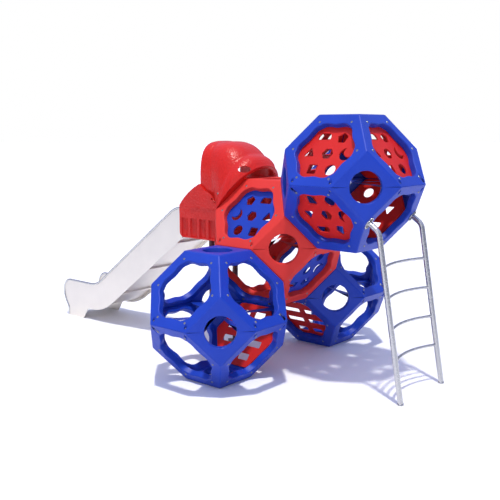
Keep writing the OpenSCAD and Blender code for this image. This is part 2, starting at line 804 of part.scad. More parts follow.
// The band of the hood that lies on the hub around the upper half of the window
module hood_flange() {
    split = 27;
    arch = 48;
    linear_extrude(entry_flange_t - seat) difference() {
        intersection() {
            scale([hood_rim_half_w - hood_wall / 2, hood_rim_rise - hood_wall / 2]) circle(r = 1);
            translate([-hex_corner_r, split]) square(2 * hex_corner_r);
        }
        window_outline(4);
        intersection() {
            scale([hood_rim_half_w - arch, hood_rim_rise - arch]) circle(r = 1);
            translate([-hex_corner_r, hex_flat_r]) square(2 * hex_corner_r);
        }
        at_corners("slide") circle(d = screw_hole_d);
    }
}

module hood_side_window() {
    middle = hex_mid + 0.86 * hex_flat_r * hex_up + [46, 32];
    upright_plate(ball_w) hull() for (x = [-1, 1])
        translate(middle + [24 * x, -10 * x]) circle(r = hood_window_r, $fn = 32);
}

module hood_shell() {
    color("crimson") at_slide() difference() {
        union() {
            hood_skin();
            slide_window() translate([0, 0, seat]) hood_flange();
        }
        hood_side_window();
        for (y = [-1, 1]) {
            at_hood_bolt(y, lug_out) cylinder(d = screw_hole_d, h = ball_w / 4);
            at_hood_bolt(y, hood_bolt_at[1]) cylinder(r = button_r + 2, h = ball_w / 4);
        }
    }
}

// Where a hood bolt goes in, and the lug behind the hood that it screws into
hood_bolt_at = hood_point(0.6, 7, 0) - [0, 1, 0];
lug_out = hood_point(0.5, 12, hood_wall)[1] - seat;
lug_in = passage_w / 2 + 8;

module hood_bolts()
    color("gray") at_slide() for (y = [-1, 1])
        at_hood_bolt(y, hood_bolt_at[1] + seat) button_screw(hood_bolt_at[1] - lug_in - 10);

// ---- Support posts ----

module at_posts() for (y = [-1, 1]) translate([post_out, y * post_gap / 2, 0]) children();

module at_post_top_bolts() for (y = [-1, 1]) translate([0, y * (post_d / 2 + 14), 0]) children();

module support_post(y) {
    top = entry_bottom - seat;
    color("dimgray") at_slide() translate([post_out, y * post_gap / 2, 0]) difference() {
        union() {
            cylinder(d = post_d, h = top);
            translate([0, 0, top - post_plate_t]) linear_extrude(post_plate_t)
                square([post_d + 10, post_d + 70], center = true);
            rotate([0, 0, 45]) linear_extrude(post_plate_t) square(post_plate_w, center = true);
        }
        translate([0, 0, post_plate_t])
            cylinder(d = post_d - 6, h = top - 2 * post_plate_t);
        rotate([0, 0, 45]) for (x = [-1, 1], z = [-1, 1])
            translate([x * post_hole_gap / 2, z * post_hole_gap / 2, -cut])
                cylinder(d = post_hole_d, h = post_plate_t + 2 * cut);
        translate([0, 0, top - post_plate_t - cut]) at_post_top_bolts()
            cylinder(d = screw_hole_d, h = post_plate_t + 2 * cut);
    }
}

module post_bolts()
    color("gray") at_slide() at_posts() translate([0, 0, entry_bottom - seat - post_plate_t])
        at_post_top_bolts() rotate([180, 0, 0]) button_screw(post_plate_t + 20);

blue = "royalblue";
red = "firebrick";

color(blue) at_ball(front_at) half_shell(front_windows, 1);  // front_ball_upper_shell
color(blue) at_ball(front_at) half_shell(front_windows, -1);  // front_ball_lower_shell
color(red) at_ball(hub_at) half_shell(hub_windows, 1);  // hub_ball_upper_shell
color(red) at_ball(hub_at) half_shell(hub_windows, -1);  // hub_ball_lower_shell
color(blue) at_ball(top_at) half_shell(top_windows, 1);  // top_ball_upper_shell
color(blue) at_ball(top_at) half_shell(top_windows, -1);  // top_ball_lower_shell
color(blue) at_ball(rear_at) half_shell(rear_windows, 1);  // rear_ball_upper_shell
color(blue) at_ball(rear_at) half_shell(rear_windows, -1);  // rear_ball_lower_shell
color(red) at_ball(top_at) play_panel(225, 1);  // top_panel_front_left
color(red) at_ball(top_at) play_panel(315, 1);  // top_panel_front_right
color(red) at_ball(top_at) play_panel(135, 1);  // top_panel_back_left
color(red) at_ball(top_at) play_panel(45, 1);  // top_panel_back_right
color(red) at_ball(top_at) play_panel(225, -1, [0, 1, 0]);  // top_panel_under_front
color(red) at_ball(top_at) play_panel(45, -1, [0, 1, 0]);  // top_panel_under_back
color(blue) at_ball(hub_at) play_panel(225, 1, [1, 0, 0]);  // hub_panel_front
color(blue) at_ball(hub_at) play_panel(45, 1, [1, 0, 0]);  // hub_panel_back
color(blue) at_ball(hub_at) play_panel(315, -1, [0, 1, 0]);  // hub_panel_under_right
at_ball(front_at) step_panel(45, -1);  // front_step_panel
at_ball(rear_at) step_panel(225, -1);  // rear_step_panel
at_ball(front_at) corner_screws(front_windows);  // front_corner_screws
at_ball(hub_at) corner_screws(hub_windows);  // hub_corner_screws
at_ball(top_at) corner_screws(top_windows);  // top_corner_screws
at_ball(rear_at) corner_screws(rear_windows);  // rear_corner_screws
at_ball(front_at) seam_bolts();  // front_seam_bolts
at_ball(hub_at) seam_bolts();  // hub_seam_bolts
at_ball(top_at) seam_bolts();  // top_seam_bolts
at_ball(rear_at) seam_bolts();  // rear_seam_bolts
at_ball(hub_at) joint_bolts(225, -1);  // front_joint_bolts
at_ball(hub_at) joint_bolts(315, 1);  // top_joint_bolts
at_ball(hub_at) joint_bolts(45, -1);  // rear_joint_bolts
ladder_rail(-1);  // ladder_rail_left
ladder_rail(1);  // ladder_rail_right
ladder_rung(1);  // ladder_rung_1
ladder_rung(2);  // ladder_rung_2
ladder_rung(3);  // ladder_rung_3
ladder_rung(4);  // ladder_rung_4
ladder_plates();
ladder_bolts();
slide_bed();
slide_side(-1);  // slide_side_left
slide_side(1);  // slide_side_right
slide_rail(-1);  // slide_rail_left
slide_rail(1);  // slide_rail_right
slide_braces();
slide_flange();
slide_bolts();
entry_box();
hood_shell();
hood_bolts();
support_post(-1);  // support_post_left
support_post(1);  // support_post_right
post_bolts();
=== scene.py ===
"""Looks of a playground climber: four moulded balls, panels, ladder, slide and hood."""

import math

import bmesh
import bpy
from mathutils import Matrix, Vector


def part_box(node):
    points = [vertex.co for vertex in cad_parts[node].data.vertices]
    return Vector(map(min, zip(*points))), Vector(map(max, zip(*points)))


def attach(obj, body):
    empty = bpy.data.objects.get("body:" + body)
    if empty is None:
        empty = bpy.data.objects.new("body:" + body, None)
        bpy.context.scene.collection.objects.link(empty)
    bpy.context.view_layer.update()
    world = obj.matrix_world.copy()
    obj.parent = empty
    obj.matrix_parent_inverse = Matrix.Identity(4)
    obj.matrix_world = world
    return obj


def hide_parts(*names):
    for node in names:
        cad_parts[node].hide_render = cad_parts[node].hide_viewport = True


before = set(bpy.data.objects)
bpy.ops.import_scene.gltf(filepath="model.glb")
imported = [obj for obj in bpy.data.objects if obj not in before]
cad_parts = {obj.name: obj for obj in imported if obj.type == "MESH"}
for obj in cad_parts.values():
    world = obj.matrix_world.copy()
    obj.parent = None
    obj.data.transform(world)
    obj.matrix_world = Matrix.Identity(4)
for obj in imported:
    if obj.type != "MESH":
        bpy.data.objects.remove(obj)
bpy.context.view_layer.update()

bl_info = {
    "name": "Ball Climber",
    "version": (1, 0, 0),
    "blender": (4, 5, 0),
    "location": "View3D > Sidebar > Climber",
    "description": "Builds a playground climber of hollow balls with ladder, slide and hood",
    "category": "Add Mesh",
}

BODY = "root"
UP = Vector((0, 0, 1))
SLIDE_AZIMUTH = math.radians(135)
LADDER_AZIMUTH = math.radians(-45)
HEX_TILT = math.acos(1 / math.sqrt(3))


def middle(node):
    low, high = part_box(node)
    return (low + high) / 2


def ball_centre(ball):
    centre = middle(ball + "_ball_lower_shell")
    centre.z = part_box(ball + "_ball_lower_shell")[1].z
    return centre


BALL_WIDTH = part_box("front_ball_upper_shell")[1].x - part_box("front_ball_upper_shell")[0].x
UNIT = BALL_WIDTH / 4
HEX_DISTANCE = math.sqrt(3) * UNIT
FRONT = ball_centre("front")
HUB = ball_centre("hub")
TOP = ball_centre("top")
REAR = ball_centre("rear")


# ---- Sizes and colours that a user would change ----


def length(name, default, description):
    return bpy.props.FloatProperty(
        name=name, default=default, description=description, unit="LENGTH", min=0.0
    )


def colour(name, default, description):
    return bpy.props.FloatVectorProperty(
        name=name, default=default, description=description, subtype="COLOR", size=3, min=0, max=1
    )


class BallSizes(bpy.types.PropertyGroup):
    wall: length("Wall", 0.06, "Depth of the double wall")
    window: length("Window", 0.534, "Window across its flats")
    window_corner: length("Window corners", 0.578, "Window across its rounded corners")
    waist: length("Window waist", 0.006, "How far the window's sides bow inwards")
    porthole: length("Porthole", 0.273, "Diameter of the round portholes")
    edge_round: length("Edge rounding", 0.013, "Width of the rounding on the ball's edges")
    pocket: length("Bolt pocket", 0.03, "Diameter of the pocket round a seam bolt")


class PanelSizes(bpy.types.PropertyGroup):
    width: length("Width", 0.62, "Panel across its flats")
    corner_width: length("Corners", 0.70, "Panel across its rounded corners")
    thickness: length("Thickness", 0.015, "Thickness of the sheet")
    hole: length("Play hole", 0.052, "Size of a play hole")
    hole_ring: length("Hole ring", 0.186, "Distance of the outer holes from the middle")
    step_pitch: length("Step pitch", 0.14, "Distance between rows of step slots")
    step_slot: length("Step slot", 0.066, "Height of a step slot")
    spine: length("Spine", 0.06, "Width of the bar between the two columns")


class LadderSizes(bpy.types.PropertyGroup):
    width: length("Width", 0.735, "Distance between the rails")
    rail: length("Rail", 0.048, "Diameter of a rail")
    rung: length("Rung", 0.025, "Diameter of a rung")
    reach: length("Reach", 0.082, "Straight length from the ball to the bend")
    bend: length("Bend", 0.1, "Radius of the bend")
    bow: length("Rung bow", 0.087, "How far a rung bows towards the ball")
    first_rung: length("First rung", 0.347, "Height of the lowest rung")
    pitch: length("Rung pitch", 0.26, "Distance between rungs")


class SlideSizes(bpy.types.PropertyGroup):
    width: length("Width", 0.546, "Overall width of the sheet metal")
    side: length("Side", 0.27, "Height of the sides above the bed")
    rail: length("Rail", 0.025, "Diameter of the rail along each side")


class HoodSizes(bpy.types.PropertyGroup):
    lip: length("Lip", 0.735, "Distance from the hub's axis to the front lip")
    foot: length("Foot", 0.528, "Height of the lip's foot above the seam")
    crown: length("Crown", 0.348, "Height of the crown above the hub")
    half_width: length("Lip half width", 0.309, "Half width of the front lip")
    wall: length("Wall", 0.014, "Wall thickness")
    bulge: length("Bulge", 0.03, "How far the lobes bulge")
    sag: length("Sag", 0.06, "How far the crown dips between the lip and the rim")


class Colours(bpy.types.PropertyGroup):
    blue: colour("Blue", (0.007, 0.044, 0.41), "Blue plastic")
    red: colour("Red", (0.62, 0.014, 0.009), "Red plastic")
    sheet: colour("Slide sheet", (0.88, 0.83, 0.74), "Stainless sheet of the slide")
    steel: colour("Steel", (0.56, 0.56, 0.55), "Steel tube and fixings")
    post: colour("Post", (0.12, 0.035, 0.03), "Painted posts")
    floor: colour("Floor", (0.92, 0.92, 0.93), "Floor")


class StageSettings(bpy.types.PropertyGroup):
    camera_reach: length("Camera reach", 6.68, "Distance of the camera in front of the front ball")
    camera_side: length("Camera side", 0.23, "Distance of the camera to the left of the front ball")
    camera_height: length("Camera height", 2.2746, "Height of the camera")
    turn: bpy.props.FloatProperty(
        name="Turn", default=math.radians(-4.47), subtype="ANGLE", description="Camera's turn"
    )
    dip: bpy.props.FloatProperty(
        name="Dip", default=math.radians(9.15), subtype="ANGLE", description="Camera's dip"
    )
    lens: bpy.props.FloatProperty(name="Lens", default=54.15, description="Focal length in mm")


# ---- Finishes ----


class Wire:
    """A socket that takes part in sums."""

    def __init__(self, finish, socket):
        self.finish = finish
        self.socket = socket

    def sum(self, operation, first, second):
        return self.finish.node(
            "ShaderNodeMath", {"operation": operation}, {0: first, 1: second}
        )

    def __add__(self, other):
        return self.sum("ADD", self, other)

    def __radd__(self, other):
        return self.sum("ADD", other, self)

    def __sub__(self, other):
        return self.sum("SUBTRACT", self, other)

    def __rsub__(self, other):
        return self.sum("SUBTRACT", other, self)

    def __mul__(self, other):
        return self.sum("MULTIPLY", self, other)

    def __rmul__(self, other):
        return self.sum("MULTIPLY", other, self)

    def __pow__(self, other):
        return self.sum("POWER", self, other)


class Finish:
    """A procedural material under construction."""

    def __init__(self, name, **constants):
        self.material = bpy.data.materials.new(name)
        self.material.use_nodes = True
        self.tree = self.material.node_tree
        self.tree.nodes.clear()
        self.shader = self.tree.nodes.new("ShaderNodeBsdfPrincipled")
        output = self.tree.nodes.new("ShaderNodeOutputMaterial")
        self.tree.links.new(self.shader.outputs[0], output.inputs[0])
        for socket, value in constants.items():
            self.shader.inputs[socket.replace("_", " ")].default_value = value

    def node(self, kind, settings=None, sockets=None, out=0):
        node = self.tree.nodes.new(kind)
        for key, value in (settings or {}).items():
            if key == "stops":
                for stop, (place, tone) in zip(node.color_ramp.elements, value):
                    stop.position = place
                    stop.color = (tone, tone, tone, 1)
            else:
                setattr(node, key, value)
        for key, value in (sockets or {}).items():
            self.feed(node.inputs[key], value)
        return Wire(self, node.outputs[out])

    def feed(self, socket, value):
        if isinstance(value, Wire):
            self.tree.links.new(value.socket, socket)
        else:
            socket.default_value = value

    def set(self, socket, value):
        self.feed(self.shader.inputs[socket], value)

    def place(self, scale=(1, 1, 1), turn=(0, 0, 0)):
        coordinates = self.node("ShaderNodeTexCoord", out=3)
        return self.node(
            "ShaderNodeMapping", sockets={"Vector": coordinates, "Rotation": turn, "Scale": scale}
        )

    def noise(self, where, scale, detail=2.0, roughness=0.5):
        return self.node(
            "ShaderNodeTexNoise",
            sockets={"Vector": where, "Scale": scale, "Detail": detail, "Roughness": roughness},
        )

    def ramp(self, value, low, high, dark=0.0, light=1.0):
        return self.node(
            "ShaderNodeValToRGB",
            {"stops": ((low, dark), (high, light))},
            {"Fac": value},
        )

    def blend(self, share, first, second):
        return self.node(
            "ShaderNodeMix",
            {"data_type": "RGBA"},
            {0: share, 6: first, 7: second},
            out=2,
        )

    def bump(self, height, strength, distance, under=None):
        sockets = {"Height": height, "Strength": strength, "Distance": distance}
        if under is not None:
            sockets["Normal"] = under
        return self.node("ShaderNodeBump", sockets=sockets)


def tint(base, factor, lift=0.0):
    return tuple(min(1.0, c * factor + lift) for c in base) + (1,)


def moulded(name, base, grain, grain_depth, rough=0.36):
    """Moulded polyethylene: slight colour drift, dust, scuffs and a leathery grain."""
    f = Finish(name, IOR=1.5, Specular_IOR_Level=0.3)
    where = f.place()
    drift = f.noise(where, 3.1, 3.0)
    scuffs = f.ramp(f.noise(where, 27.0, 8.0, 0.72), 0.60, 0.74)
    body = f.blend(drift, tint(base, 0.84), tint(base, 1.12))
    f.set("Base Color", f.blend(scuffs * 0.06, body, tint(base, 1.15, 0.12)))
    f.set("Roughness", rough + 0.12 * drift + 0.14 * scuffs)
    pebbles = f.node(
        "ShaderNodeTexVoronoi",
        {"feature": "SMOOTH_F1"},
        {"Vector": where, "Scale": grain},
    )
    sag = f.bump(f.noise(where, 9.0, 1.0), 0.35, 0.004)
    f.set("Normal", f.bump(pebbles, 0.55, grain_depth, sag))
    return f.material


def sheet_plastic(name, base):
    """Routed polyethylene sheet: finer grain, faint rubbed patches."""
    f = Finish(name, IOR=1.5, Specular_IOR_Level=0.3)
    where = f.place()
    drift = f.noise(where, 5.0, 4.0)
    rubbed = f.ramp(f.noise(where, 60.0, 6.0, 0.7), 0.56, 0.72)
    body = f.blend(drift, tint(base, 0.86), tint(base, 1.1))
    f.set("Base Color", f.blend(rubbed * 0.08, body, tint(base, 1.1, 0.14)))
    f.set("Roughness", 0.40 + 0.14 * drift)
    f.set("Normal", f.bump(f.noise(where, 700.0, 2.0), 0.35, 0.0006))
    return f.material


def stainless(name, base, turn, rough, metallic=1.0):
    """Stainless steel with a fine grain along one direction and handling marks."""
    f = Finish(name, Metallic=metallic)
    lines = f.noise(f.place((2.0, 420.0, 420.0), turn), 1.0, 4.0, 0.7)
    cloud = f.noise(f.place(), 4.0, 3.0)
    body = f.blend(cloud, tint(base, 0.90), tint(base, 1.06))
    f.set("Base Color", f.blend(lines * 0.35, body, tint(base, 0.80)))
    f.set("Roughness", rough + 0.14 * lines + 0.08 * cloud)
    f.set("Normal", f.bump(lines, 0.12, 0.0006))
    return f.material


def tube_steel(name, base, rough):
    """Satin tube, with fingerprints and a light grind."""
    f = Finish(name, Metallic=1.0)
    where = f.place()
    marks = f.noise(where, 38.0, 5.0, 0.65)
    f.set("Base Color", f.blend(marks, tint(base, 0.88), tint(base, 1.08)))
    f.set("Roughness", rough + 0.16 * marks)
    f.set("Normal", f.bump(f.noise(where, 520.0, 2.0), 0.12, 0.0004))
    return f.material


def painted(name, base):
    """Satin paint over tube, with chips towards a paler primer."""
    f = Finish(name, IOR=1.5, Coat_Weight=0.25, Coat_Roughness=0.2)
    where = f.place()
    chips = f.ramp(f.noise(where, 45.0, 7.0, 0.7), 0.66, 0.70)
    drift = f.noise(where, 6.0, 3.0)
    body = f.blend(drift, tint(base, 0.85), tint(base, 1.15))
    f.set("Base Color", f.blend(chips * 0.5, body, tint(base, 1.6, 0.06)))
    f.set("Roughness", 0.38 + 0.18 * drift)
    f.set("Normal", f.bump(f.noise(where, 260.0, 2.0), 0.25, 0.0006))
    return f.material


def fastener(name, base):
    f = Finish(name, Metallic=1.0)
    marks = f.noise(f.place(), 160.0, 3.0)
    f.set("Base Color", f.blend(marks, tint(base, 0.92), tint(base, 1.10)))
    f.set("Roughness", 0.34 + 0.16 * marks)
    return f.material


def finish(name):
    """The finish of that name, made the first time that it is asked for."""
    if name in bpy.data.materials:
        return bpy.data.materials[name]
    c = bpy.context.scene.climber_colours
    makers = {
        "blue_moulding": lambda: moulded(name, c.blue, 260.0, 0.0010),
        "red_moulding": lambda: moulded(name, c.red, 260.0, 0.0010),
        "red_hood_moulding": lambda: moulded(name, c.red, 60.0, 0.006, 0.27),
        "blue_sheet": lambda: sheet_plastic(name, c.blue),
        "red_sheet": lambda: sheet_plastic(name, c.red),
        "slide_sheet": lambda: stainless(name, c.sheet, (0, 0, -SLIDE_AZIMUTH), 0.34),
        "tube": lambda: tube_steel(name, c.steel, 0.18),
        "post_paint": lambda: painted(name, c.post),
        "bolt_steel": lambda: fastener(name, tint(c.steel, 0.45)[:3]),
    }
    return makers[name]()


# ---- Making and placing pieces ----


def piece_from(bm, name, material, slot, nodes, smooth=40.0):
    """Turns a bmesh in row coordinates into a piece that rides on the climber."""
    mesh = bpy.data.meshes.new(name)
    bm.to_mesh(mesh)
    bm.free()
    return adopt(mesh, name, material, slot, nodes, smooth)


def adopt(mesh, name, material, slot, nodes, smooth=40.0):
    piece = bpy.data.objects.new(name, mesh)
    bpy.context.scene.collection.objects.link(piece)
    mesh.materials.clear()
    mesh.materials.append(finish(material))
    for face in mesh.polygons:
        face.use_smooth = True
        face.material_index = 0
    mesh.set_sharp_from_angle(angle=math.radians(smooth))
    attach(piece, BODY)
    if nodes:
        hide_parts(*nodes)
    return piece


def baked(piece):
    """The piece with its modifiers applied."""
    graph = bpy.context.evaluated_depsgraph_get()
    mesh = bpy.data.meshes.new_from_object(piece.evaluated_get(graph))
    piece.modifiers.clear()
    piece.data = mesh
    return piece


def scratch(bm, name):
    """A loose object for a modifier to work on."""
    mesh = bpy.data.meshes.new(name)
    bm.to_mesh(mesh)
    bm.free()
    item = bpy.data.objects.new(name, mesh)
    bpy.context.scene.collection.objects.link(item)
    return item


def bare_mesh(item):
    """Takes the finished mesh out of a loose object and removes the object."""
    graph = bpy.context.evaluated_depsgraph_get()
    mesh = bpy.data.meshes.new_from_object(item.evaluated_get(graph))
    bpy.data.objects.remove(item)
    return mesh


def carve(item, cutter):
    """Cuts one loose object out of another."""
    cut = item.modifiers.new("carve", "BOOLEAN")
    cut.operation = "DIFFERENCE"
    cut.solver = "EXACT"
    cut.object = cutter
    graph = bpy.context.evaluated_depsgraph_get()
    mesh = bpy.data.meshes.new_from_object(item.evaluated_get(graph))
    item.modifiers.clear()
    item.data = mesh
    bpy.data.objects.remove(cutter)


def paint_nodes(nodes, material):
    """Gives carried-over nodes their finish."""
    for node in nodes:
        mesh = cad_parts[node].data
        mesh.materials.clear()
        mesh.materials.append(finish(material))
        for face in mesh.polygons:
            face.material_index = 0


def face_turn(normal):
    """Turns X to the right and Y up as a face is seen from outside, with Z outwards."""
    right = UP.cross(normal)
    if right.length < 1e-6:
        right = Vector((1, 0, 0))
    right.normalize()
    up = normal.cross(right)
    return Matrix((right, up, normal)).transposed().to_4x4()


def hex_normal(azimuth, side):
    flat = math.sin(HEX_TILT)
    a = math.radians(azimuth)
    return Vector((flat * math.cos(a), flat * math.sin(a), side * math.cos(HEX_TILT)))


def on_hex(centre, azimuth, side, out=0.0):
    """Places a flat outline on one hexagon of a ball."""
    normal = hex_normal(azimuth, side)
    return Matrix.Translation(centre + normal * (HEX_DISTANCE + out)) @ face_turn(normal)


SLIDE_PLACE = Matrix.Translation((HUB.x, HUB.y, 0)) @ Matrix.Rotation(SLIDE_AZIMUTH, 4, "Z")
LADDER_PLACE = Matrix.Translation((TOP.x, TOP.y, 0)) @ Matrix.Rotation(LADDER_AZIMUTH, 4, "Z")


def tube_mesh(points, diameter, place, closed_ends=True, sides=8):
    """A round tube along points, as a mesh in row coordinates."""
    curve = bpy.data.curves.new("tube", "CURVE")
    curve.dimensions = "3D"
    curve.bevel_depth = diameter / 2
    curve.bevel_resolution = sides
    curve.use_fill_caps = closed_ends
    spline = curve.splines.new("POLY")
    spline.points.add(len(points) - 1)
    for point, where in zip(spline.points, points):
        point.co = (*where, 1)
    item = bpy.data.objects.new("tube", curve)
    bpy.context.scene.collection.objects.link(item)
    mesh = bare_mesh(item)
    mesh.transform(place)
    return mesh


def plate_mesh(loops, thickness, rounding, place):
    """A flat plate with holes and rounded edges; its middle plane is the loops' plane."""
    curve = bpy.data.curves.new("plate", "CURVE")
    curve.dimensions = "2D"
    curve.fill_mode = "BOTH"
    curve.extrude = thickness / 2 - rounding
    curve.bevel_depth = rounding
    curve.bevel_resolution = 2
    curve.offset = -rounding
    for loop in loops:
        spline = curve.splines.new("POLY")
        spline.points.add(len(loop) - 1)
        spline.use_cyclic_u = True
        for point, where in zip(spline.points, loop):
            point.co = (where[0], where[1], 0, 1)
    item = bpy.data.objects.new("plate", curve)
    bpy.context.scene.collection.objects.link(item)
    mesh = bare_mesh(item)
    mesh.transform(place)
    return mesh


def joined(meshes):
    bm = bmesh.new()
    for mesh in meshes:
        bm.from_mesh(mesh)
    bmesh.ops.remove_doubles(bm, verts=bm.verts[:], dist=1e-6)
    return bm


# ---- Balls ----


def soft_min(a, b, sharpness=160.0):
    return -math.log(math.exp(-sharpness * a) + math.exp(-sharpness * b)) / sharpness


def window_radius(angle, sizes):
    """Radius of a window: a hexagon with blunt corners and slightly wavy sides."""
    sixth = math.radians(60)
    off = angle % sixth - sixth / 2
    flat = sizes.window / 2 / math.cos(off)
    return soft_min(flat, sizes.window_corner / 2) + 0.003 - sizes.waist * math.cos(9 * off)


HEX_STEPS = 12


def ball_block(half, distance):
    """A truncated octahedron as a bmesh."""
    bm = bmesh.new()
    bmesh.ops.create_cube(bm, size=2 * half)
    for k in range(8):
        side = Vector((1 if k & 1 else -1, 1 if k & 2 else -1, 1 if k & 4 else -1)).normalized()
        cut = bmesh.ops.bisect_plane(
            bm,
            geom=bm.verts[:] + bm.edges[:] + bm.faces[:],
            dist=1e-7,
            plane_co=side * distance,
            plane_no=side,
            clear_outer=True,
        )
        rim = [g for g in cut["geom_cut"] if isinstance(g, bmesh.types.BMEdge)]
        bmesh.ops.edgeloop_fill(bm, edges=rim)
    bmesh.ops.remove_doubles(bm, verts=bm.verts[:], dist=1e-6)
    return bm


def ball_skin(half, distance, sizes):
    """One skin of a ball: every face is a ring of quads round its window or porthole."""
    bm = ball_block(half, distance)
    bmesh.ops.subdivide_edges(bm, edges=bm.edges[:], cuts=HEX_STEPS - 1)
    middles = bm.faces[:]
    faces = [(face.normal.copy(), face.calc_center_median()) for face in middles]
    bmesh.ops.inset_individual(bm, faces=middles, thickness=0.02)
    for face, (normal, centre) in zip(middles, faces):
        is_hex = max(abs(c) for c in normal) < 0.9
        place = Matrix.Translation(normal * normal.dot(centre)) @ face_turn(normal)
        back = place.inverted()
        step = 2 * math.pi / len(face.verts)
        for vert in face.verts:
            flat = back @ vert.co
            angle = round(math.atan2(flat.y, flat.x) / step) * step
            radius = window_radius(angle, sizes) if is_hex else sizes.porthole / 2
            vert.co = place @ Vector((radius * math.cos(angle), radius * math.sin(angle), 0))
    bmesh.ops.delete(bm, geom=middles, context="FACES_ONLY")
    return bm, faces


def ball_wall(sizes):
    """Both skins of a ball, joined through every window and porthole."""
    half = BALL_WIDTH / 2
    bm, faces = ball_skin(half, HEX_DISTANCE, sizes)
    inner, _ = ball_skin(half - sizes.wall, HEX_DISTANCE - sizes.wall, sizes)
    mesh = bpy.data.meshes.new("inner")
    inner.to_mesh(mesh)
    inner.free()
    bm.from_mesh(mesh)
    bpy.data.meshes.remove(mesh)
    for normal, centre in faces:
        plane = normal.dot(centre)
        rims = []
        for e in bm.edges:
            if not e.is_boundary:
                continue
            for level in (plane, plane - sizes.wall):
                if all(
                    abs(v.co.dot(normal) - level) < 1e-4
                    and (v.co - normal * level).length < sizes.window_corner / 2 + 0.01
                    for v in e.verts
                ):
                    rims.append(e)
        bmesh.ops.bridge_loops(bm, edges=rims)
    bmesh.ops.recalc_face_normals(bm, faces=bm.faces[:])
    return bm


def close_loops(bm):
    """Fills each open loop by itself."""
    open_edges = {e for e in bm.edges if e.is_boundary}
    while open_edges:
        loop = [open_edges.pop()]
        for edge in loop:
            for vert in edge.verts:
                for other in vert.link_edges:
                    if other in open_edges:
                        open_edges.discard(other)
                        loop.append(other)
        bmesh.ops.edgeloop_fill(bm, edges=loop)


def weigh_edges(bm, sizes):
    """Marks how wide each edge of a half ball is rounded."""
    weights = bm.edges.layers.float.new("bevel_weight_edge")
    half = BALL_WIDTH / 2
    for e in bm.edges:
        if len(e.link_faces) != 2 or e.calc_face_angle() < math.radians(22):
            continue
        spot = (e.verts[0].co + e.verts[1].co) / 2
        reach = max(
            max(abs(c) for c in spot) / half, sum(abs(c) for c in spot) / math.sqrt(3) / HEX_DISTANCE
        )
        flat_edge = all(abs(v.co.z) < 1e-5 for v in e.verts)
        if flat_edge:
            e[weights] = 0.32
        elif reach > 0.999:
            normals = [f.normal for f in e.link_faces]
            on_outside = all(n.dot(spot) > 0.4 * spot.length for n in normals)
            e[weights] = 1.0 if on_outside else 0.75
        else:
            e[weights] = 0.45


def half_ball(wall, side, sizes):
    bm = wall.copy()
    bmesh.ops.bisect_plane(
        bm,
        geom=bm.verts[:] + bm.edges[:] + bm.faces[:],
        dist=1e-6,
        plane_co=(0, 0, 0),
        plane_no=(0, 0, -side),
        clear_outer=True,
    )
    close_loops(bm)
    bmesh.ops.recalc_face_normals(bm, faces=bm.faces[:])
    weigh_edges(bm, sizes)
    item = scratch(bm, "half")
    rounding = item.modifiers.new("rounding", "BEVEL")
    rounding.limit_method = "WEIGHT"
    rounding.width = sizes.edge_round
    rounding.segments = 3
    rounding.profile = 0.5
    graph = bpy.context.evaluated_depsgraph_get()
    mesh = bpy.data.meshes.new_from_object(item.evaluated_get(graph))
    item.modifiers.clear()
    item.data = mesh
    cutters = bmesh.new()
    edge_out = 3 * UNIT / math.sqrt(2) - 0.033
    for k in range(4):
        for along in (-0.195, 0.195):
            place = (
                Matrix.Rotation(math.radians(45 + 90 * k), 4, "Z")
                @ Matrix.Translation((edge_out, along, side * 0.105))
            )
            bmesh.ops.create_cone(
                cutters,
                cap_ends=True,
                segments=20,
                radius1=sizes.pocket / 2,
                radius2=sizes.pocket / 2,
                depth=0.16,
                matrix=place,
            )
    carve(item, scratch(cutters, "pockets"))
    return bare_mesh(item)


class CLIMBER_OT_balls(bpy.types.Operator):
    """Moulds the eight half shells of the four balls"""

    bl_idname = "climber.balls"
    bl_label = "Balls"

    def execute(self, context):
        sizes = context.scene.climber_balls
        wall = ball_wall(sizes)
        halves = {"upper": half_ball(wall, 1, sizes), "lower": half_ball(wall, -1, sizes)}
        wall.free()
        for ball, centre, hue in (
            ("front", FRONT, "blue"),
            ("hub", HUB, "red"),
            ("top", TOP, "blue"),
            ("rear", REAR, "blue"),
        ):
            for level, half in halves.items():
                mesh = half.copy()
                mesh.transform(Matrix.Translation(centre))
                piece = adopt(
                    mesh,
                    f"{ball}_{level}_moulding",
                    hue + "_moulding",
                    hue + "_shell",
                    [f"{ball}_ball_{level}_shell"],
                )
                piece.modifiers.new("flats", "WEIGHTED_NORMAL").keep_sharp = True
                baked(piece)
        return {"FINISHED"}


# ---- Panels ----


def circle_points(radius, steps, start=0.0, squash=1.0):
    return [
        (
            radius * math.cos(start + 2 * math.pi * k / steps),
            radius * squash * math.sin(start + 2 * math.pi * k / steps),
        )
        for k in range(steps)
    ]


def rounded(corners, radius, steps=4):
    """A closed outline with its corners rounded."""
    out = []
    count = len(corners)
    for k, corner in enumerate(corners):
        here = Vector(corner)
        back = (Vector(corners[k - 1]) - here).normalized()
        ahead = (Vector(corners[(k + 1) % count]) - here).normalized()
        half = math.acos(max(-1, min(1, back.dot(ahead)))) / 2
        start = here + back * radius / math.tan(half)
        end = here + ahead * radius / math.tan(half)
        centre = here + (back + ahead).normalized() * radius / math.sin(half)
        for j in range(steps + 1):
            spot = start.lerp(end, j / steps) - centre
            out.append(tuple(centre + spot.normalized() * radius))
    return out


def moved(points, angle, reach, turn=0.0):
    """Points turned by turn, pushed out by reach and swung round to angle."""
    spin = Matrix.Rotation(turn, 2)
    swing = Matrix.Rotation(math.radians(angle), 2)
    return [tuple(swing @ (spin @ Vector(p) + Vector((reach, 0)))) for p in points]


